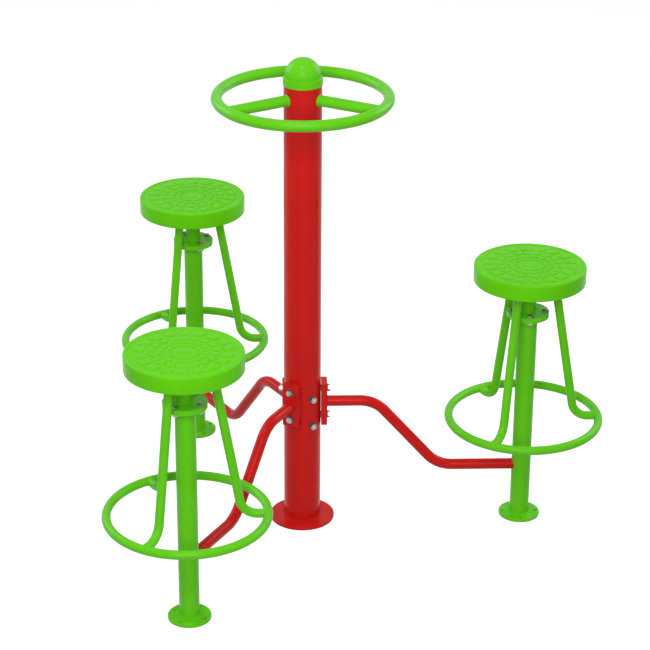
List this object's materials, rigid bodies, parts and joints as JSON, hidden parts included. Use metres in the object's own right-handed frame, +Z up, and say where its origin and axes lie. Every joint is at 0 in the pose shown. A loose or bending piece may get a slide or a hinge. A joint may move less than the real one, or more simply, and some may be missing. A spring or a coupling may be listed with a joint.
{
  "type": "three seat standing twister",
  "caption": "Outdoor exercise set: a fixed post with a round hand ring, and swivel stools with foot rings on bent arms around it.",
  "frame": {"origin": "centre of the central post's foot plate, on the ground", "axes": "+Z up, +X out along arm 1, arms 2 and 3 at 120 and 240 degrees about +Z"},
  "size_m": [1.5339, 1.6946, 1.5225],
  "materials": {
    "red_paint": "gloss powder coat on steel tube and plate",
    "green_paint": "gloss powder coat on steel tube and plate",
    "green_seat": "gloss moulded seat with a raised tread",
    "zinc_fasteners": "bright zinc plate",
    "bearing_steel": "ground bearing steel",
    "machined_steel": "turned steel, oiled",
    "seal_rubber": "matt nitrile rubber"
  },
  "bodies": {
    "frame": {"center_post": "red_paint", "post_base_plate": "red_paint", "post_cap": "green_paint", "hand_ring": "green_paint", "hand_ring_spokes": "green_paint", "arm_tube_1": "red_paint", "arm_end_plate_1": "red_paint", "arm_bolts_1": "zinc_fasteners", "seat_post_1": "green_paint", "seat_post_base_1": "green_paint", "seat_post_flange_1": "green_paint", "bearing_housing_1": "green_paint", "flange_bolts_1": "zinc_fasteners", "bearing_outer_rings_1": "bearing_steel", "arm_tube_2": "red_paint", "arm_end_plate_2": "red_paint", "arm_bolts_2": "zinc_fasteners", "seat_post_2": "green_paint", "seat_post_base_2": "green_paint", "seat_post_flange_2": "green_paint", "bearing_housing_2": "green_paint", "flange_bolts_2": "zinc_fasteners", "bearing_outer_rings_2": "bearing_steel", "arm_tube_3": "red_paint", "arm_end_plate_3": "red_paint", "arm_bolts_3": "zinc_fasteners", "seat_post_3": "green_paint", "seat_post_base_3": "green_paint", "seat_post_flange_3": "green_paint", "bearing_housing_3": "green_paint", "flange_bolts_3": "zinc_fasteners", "bearing_outer_rings_3": "bearing_steel"},
    "stool_1": {"seat_cover_1": "green_seat", "seat_plate_1": "green_paint", "seat_legs_1": "green_paint", "foot_ring_1": "green_paint", "spindle_1": "machined_steel", "spindle_nut_1": "zinc_fasteners", "bearing_inner_parts_1": "bearing_steel", "dust_seal_1": "seal_rubber", "seat_screws_1": "zinc_fasteners"},
    "stool_2": {"seat_cover_2": "green_seat", "seat_plate_2": "green_paint", "seat_legs_2": "green_paint", "foot_ring_2": "green_paint", "spindle_2": "machined_steel", "spindle_nut_2": "zinc_fasteners", "bearing_inner_parts_2": "bearing_steel", "dust_seal_2": "seal_rubber", "seat_screws_2": "zinc_fasteners"},
    "stool_3": {"seat_cover_3": "green_seat", "seat_plate_3": "green_paint", "seat_legs_3": "green_paint", "foot_ring_3": "green_paint", "spindle_3": "machined_steel", "spindle_nut_3": "zinc_fasteners", "bearing_inner_parts_3": "bearing_steel", "dust_seal_3": "seal_rubber", "seat_screws_3": "zinc_fasteners"}
  },
  "joints": [
    {"name": "stool_1_turn", "type": "hinge", "parent": "frame", "child": "stool_1", "pos_m": [0.6929, 0, 0.75], "axis": [0, 0, 1], "continuous": true},
    {"name": "stool_2_turn", "type": "hinge", "parent": "frame", "child": "stool_2", "pos_m": [-0.34645, 0.60007, 0.75], "axis": [0, 0, 1], "continuous": true},
    {"name": "stool_3_turn", "type": "hinge", "parent": "frame", "child": "stool_3", "pos_m": [-0.34645, -0.60007, 0.75], "axis": [0, 0, 1], "continuous": true}
  ]
}
